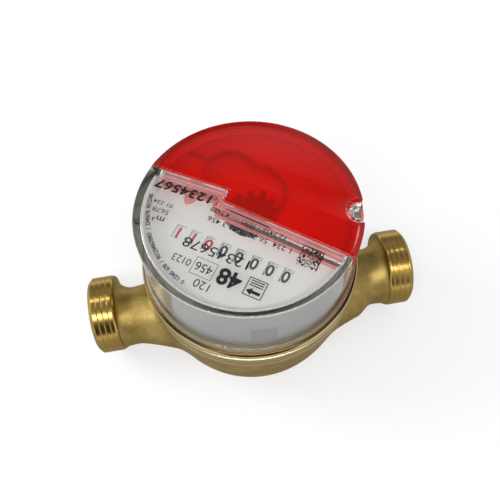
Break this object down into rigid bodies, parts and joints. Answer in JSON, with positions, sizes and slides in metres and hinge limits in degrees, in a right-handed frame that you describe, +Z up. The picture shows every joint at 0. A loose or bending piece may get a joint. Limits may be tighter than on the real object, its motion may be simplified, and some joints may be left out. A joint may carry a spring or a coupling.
{
  "type": "water meter",
  "caption": "Single-jet domestic water meter: cast brass body with threaded ends, clear turnable register with number rollers, and a see-through red half cover.",
  "frame": {"origin": "centre of the flat base, on the surface the meter stands on", "axes": "+X along the pipe from the inlet to the outlet, +Z up along the register's axis, -Y towards the side seen in the picture"},
  "size_m": [0.11, 0.0684, 0.0659],
  "materials": {
    "cast_brass": "sand-cast and shot-blasted, machined on the rim and the ends",
    "turned_brass": "turned",
    "seal_rubber": "matt",
    "clear_polycarbonate": "clear polycarbonate, smooth",
    "red_polycarbonate": "tinted see-through red polycarbonate, glossy",
    "grey_moulding": "moulded, satin",
    "white_moulding": "moulded, satin, printed",
    "red_figure_moulding": "moulded, with red printed figures",
    "black_moulding": "moulded",
    "natural_acetal": "moulded",
    "ferrite": "sintered",
    "stainless_steel": "drawn wire, bright"
  },
  "bodies": {
    "meter_body": {"brass_body": "cast_brass", "separating_plate": "black_moulding", "seal_ring": "seal_rubber", "clamp_ring": "turned_brass", "inlet_strainer": "natural_acetal", "pivot_pin": "stainless_steel"},
    "impeller": {"impeller": "black_moulding", "drive_magnet": "ferrite"},
    "register": {"clear_hood": "clear_polycarbonate", "red_cover": "red_polycarbonate", "register_cup": "grey_moulding", "dial_cap": "white_moulding", "counter_frame": "white_moulding", "arbor_sun": "stainless_steel", "arbor_one": "stainless_steel", "arbor_two": "stainless_steel", "arbor_idler": "stainless_steel", "arbor_worm": "stainless_steel", "roller_shaft": "stainless_steel", "transfer_shaft": "stainless_steel"},
    "magnet_rotor": {"magnet_rotor": "natural_acetal", "follower_magnet": "ferrite"},
    "wheel_one": {"wheel_one": "natural_acetal"},
    "wheel_two": {"wheel_two": "natural_acetal"},
    "idler_wheel": {"idler_wheel": "natural_acetal"},
    "worm_arbor": {"worm_arbor": "natural_acetal"},
    "flow_star": {"flow_star": "black_moulding"},
    "number_roller_1": {"number_roller_1": "red_figure_moulding"},
    "number_roller_2": {"number_roller_2": "red_figure_moulding"},
    "number_roller_3": {"number_roller_3": "red_figure_moulding"},
    "number_roller_4": {"number_roller_4": "white_moulding"},
    "number_roller_5": {"number_roller_5": "white_moulding"},
    "number_roller_6": {"number_roller_6": "white_moulding"},
    "number_roller_7": {"number_roller_7": "white_moulding"},
    "number_roller_8": {"number_roller_8": "white_moulding"},
    "transfer_pinion_1": {"transfer_pinion_1": "black_moulding"},
    "transfer_pinion_2": {"transfer_pinion_2": "black_moulding"},
    "transfer_pinion_3": {"transfer_pinion_3": "black_moulding"},
    "transfer_pinion_4": {"transfer_pinion_4": "black_moulding"},
    "transfer_pinion_5": {"transfer_pinion_5": "black_moulding"},
    "transfer_pinion_6": {"transfer_pinion_6": "black_moulding"},
    "transfer_pinion_7": {"transfer_pinion_7": "black_moulding"}
  },
  "joints": [
    {"name": "impeller_spin", "type": "hinge", "parent": "meter_body", "child": "impeller", "pos_m": [0, 0, 0.015], "axis": [0, 0, 1], "continuous": true},
    {"name": "register_turn", "type": "hinge", "parent": "meter_body", "child": "register", "pos_m": [0, 0, 0.036], "axis": [0, 0, 1], "range_deg": [-177.5, 177.5]},
    {"name": "magnet_rotor_spin", "type": "hinge", "parent": "register", "child": "magnet_rotor", "pos_m": [0, 0, 0.04], "axis": [0, 0, 1], "continuous": true},
    {"name": "wheel_one_spin", "type": "hinge", "parent": "register", "child": "wheel_one", "pos_m": [0.00435, 0.00856, 0.042], "axis": [0, 0, 1], "continuous": true},
    {"name": "wheel_two_spin", "type": "hinge", "parent": "register", "child": "wheel_two", "pos_m": [-0.00207, 0.01686, 0.042], "axis": [0, 0, 1], "continuous": true},
    {"name": "idler_wheel_spin", "type": "hinge", "parent": "register", "child": "idler_wheel", "pos_m": [-0.00902, 0.00967, 0.042], "axis": [0, 0, 1], "continuous": true},
    {"name": "worm_arbor_spin", "type": "hinge", "parent": "register", "child": "worm_arbor", "pos_m": [-0.01892, 0.00826, 0.042], "axis": [0, 0, 1], "continuous": true},
    {"name": "flow_star_spin", "type": "hinge", "parent": "register", "child": "flow_star", "pos_m": [0.00183, 0.0031, 0.042], "axis": [0, 0, 1], "continuous": true},
    {"name": "number_roller_1_spin", "type": "hinge", "parent": "register", "child": "number_roller_1", "pos_m": [-0.01992, 0.00086, 0.05125], "axis": [-0.8131, 0.5821, 0], "continuous": true},
    {"name": "number_roller_2_spin", "type": "hinge", "parent": "register", "child": "number_roller_2", "pos_m": [-0.01602, -0.00194, 0.05125], "axis": [-0.8131, 0.5821, 0], "continuous": true},
    {"name": "number_roller_3_spin", "type": "hinge", "parent": "register", "child": "number_roller_3", "pos_m": [-0.01212, -0.00473, 0.05125], "axis": [-0.8131, 0.5821, 0], "continuous": true},
    {"name": "number_roller_4_spin", "type": "hinge", "parent": "register", "child": "number_roller_4", "pos_m": [-0.00821, -0.00752, 0.05125], "axis": [-0.8131, 0.5821, 0], "continuous": true},
    {"name": "number_roller_5_spin", "type": "hinge", "parent": "register", "child": "number_roller_5", "pos_m": [-0.00431, -0.01032, 0.05125], "axis": [-0.8131, 0.5821, 0], "continuous": true},
    {"name": "number_roller_6_spin", "type": "hinge", "parent": "register", "child": "number_roller_6", "pos_m": [-0.00041, -0.01311, 0.05125], "axis": [-0.8131, 0.5821, 0], "continuous": true},
    {"name": "number_roller_7_spin", "type": "hinge", "parent": "register", "child": "number_roller_7", "pos_m": [0.00349, -0.01591, 0.05125], "axis": [-0.8131, 0.5821, 0], "continuous": true},
    {"name": "number_roller_8_spin", "type": "hinge", "parent": "register", "child": "number_roller_8", "pos_m": [0.00739, -0.0187, 0.05125], "axis": [-0.8131, 0.5821, 0], "continuous": true},
    {"name": "transfer_pinion_1_spin", "type": "hinge", "parent": "register", "child": "transfer_pinion_1", "pos_m": [-0.01787, -0.00061, 0.04425], "axis": [-0.8131, 0.5821, 0], "continuous": true},
    {"name": "transfer_pinion_2_spin", "type": "hinge", "parent": "register", "child": "transfer_pinion_2", "pos_m": [-0.01397, -0.00341, 0.04425], "axis": [-0.8131, 0.5821, 0], "continuous": true},
    {"name": "transfer_pinion_3_spin", "type": "hinge", "parent": "register", "child": "transfer_pinion_3", "pos_m": [-0.01006, -0.0062, 0.04425], "axis": [-0.8131, 0.5821, 0], "continuous": true},
    {"name": "transfer_pinion_4_spin", "type": "hinge", "parent": "register", "child": "transfer_pinion_4", "pos_m": [-0.00616, -0.00899, 0.04425], "axis": [-0.8131, 0.5821, 0], "continuous": true},
    {"name": "transfer_pinion_5_spin", "type": "hinge", "parent": "register", "child": "transfer_pinion_5", "pos_m": [-0.00226, -0.01179, 0.04425], "axis": [-0.8131, 0.5821, 0], "continuous": true},
    {"name": "transfer_pinion_6_spin", "type": "hinge", "parent": "register", "child": "transfer_pinion_6", "pos_m": [0.00164, -0.01458, 0.04425], "axis": [-0.8131, 0.5821, 0], "continuous": true},
    {"name": "transfer_pinion_7_spin", "type": "hinge", "parent": "register", "child": "transfer_pinion_7", "pos_m": [0.00554, -0.01738, 0.04425], "axis": [-0.8131, 0.5821, 0], "continuous": true}
  ],
  "couplings": [
    {"joint": "magnet_rotor_spin", "follows": "impeller_spin", "ratio": 1},
    {"joint": "wheel_one_spin", "follows": "impeller_spin", "ratio": -0.33333},
    {"joint": "wheel_two_spin", "follows": "impeller_spin", "ratio": 0.083333},
    {"joint": "idler_wheel_spin", "follows": "impeller_spin", "ratio": -0.055556},
    {"joint": "worm_arbor_spin", "follows": "impeller_spin", "ratio": 0.083333},
    {"joint": "flow_star_spin", "follows": "impeller_spin", "ratio": -1},
    {"joint": "number_roller_1_spin", "follows": "impeller_spin", "ratio": 0.0033333},
    {"joint": "number_roller_2_spin", "follows": "impeller_spin", "ratio": 0.00033333},
    {"joint": "number_roller_3_spin", "follows": "impeller_spin", "ratio": 0.000033333},
    {"joint": "number_roller_4_spin", "follows": "impeller_spin", "ratio": 0.0000033333},
    {"joint": "number_roller_5_spin", "follows": "impeller_spin", "ratio": 0.00000033333},
    {"joint": "number_roller_6_spin", "follows": "impeller_spin", "ratio": 0.000000033333},
    {"joint": "number_roller_7_spin", "follows": "impeller_spin", "ratio": 0.0000000033333},
    {"joint": "number_roller_8_spin", "follows": "impeller_spin", "ratio": 0.00000000033333},
    {"joint": "transfer_pinion_1_spin", "follows": "impeller_spin", "ratio": -0.00083333},
    {"joint": "transfer_pinion_2_spin", "follows": "impeller_spin", "ratio": -0.000083333},
    {"joint": "transfer_pinion_3_spin", "follows": "impeller_spin", "ratio": -0.0000083333},
    {"joint": "transfer_pinion_4_spin", "follows": "impeller_spin", "ratio": -0.00000083333},
    {"joint": "transfer_pinion_5_spin", "follows": "impeller_spin", "ratio": -0.000000083333},
    {"joint": "transfer_pinion_6_spin", "follows": "impeller_spin", "ratio": -0.0000000083333},
    {"joint": "transfer_pinion_7_spin", "follows": "impeller_spin", "ratio": -0.00000000083333}
  ]
}
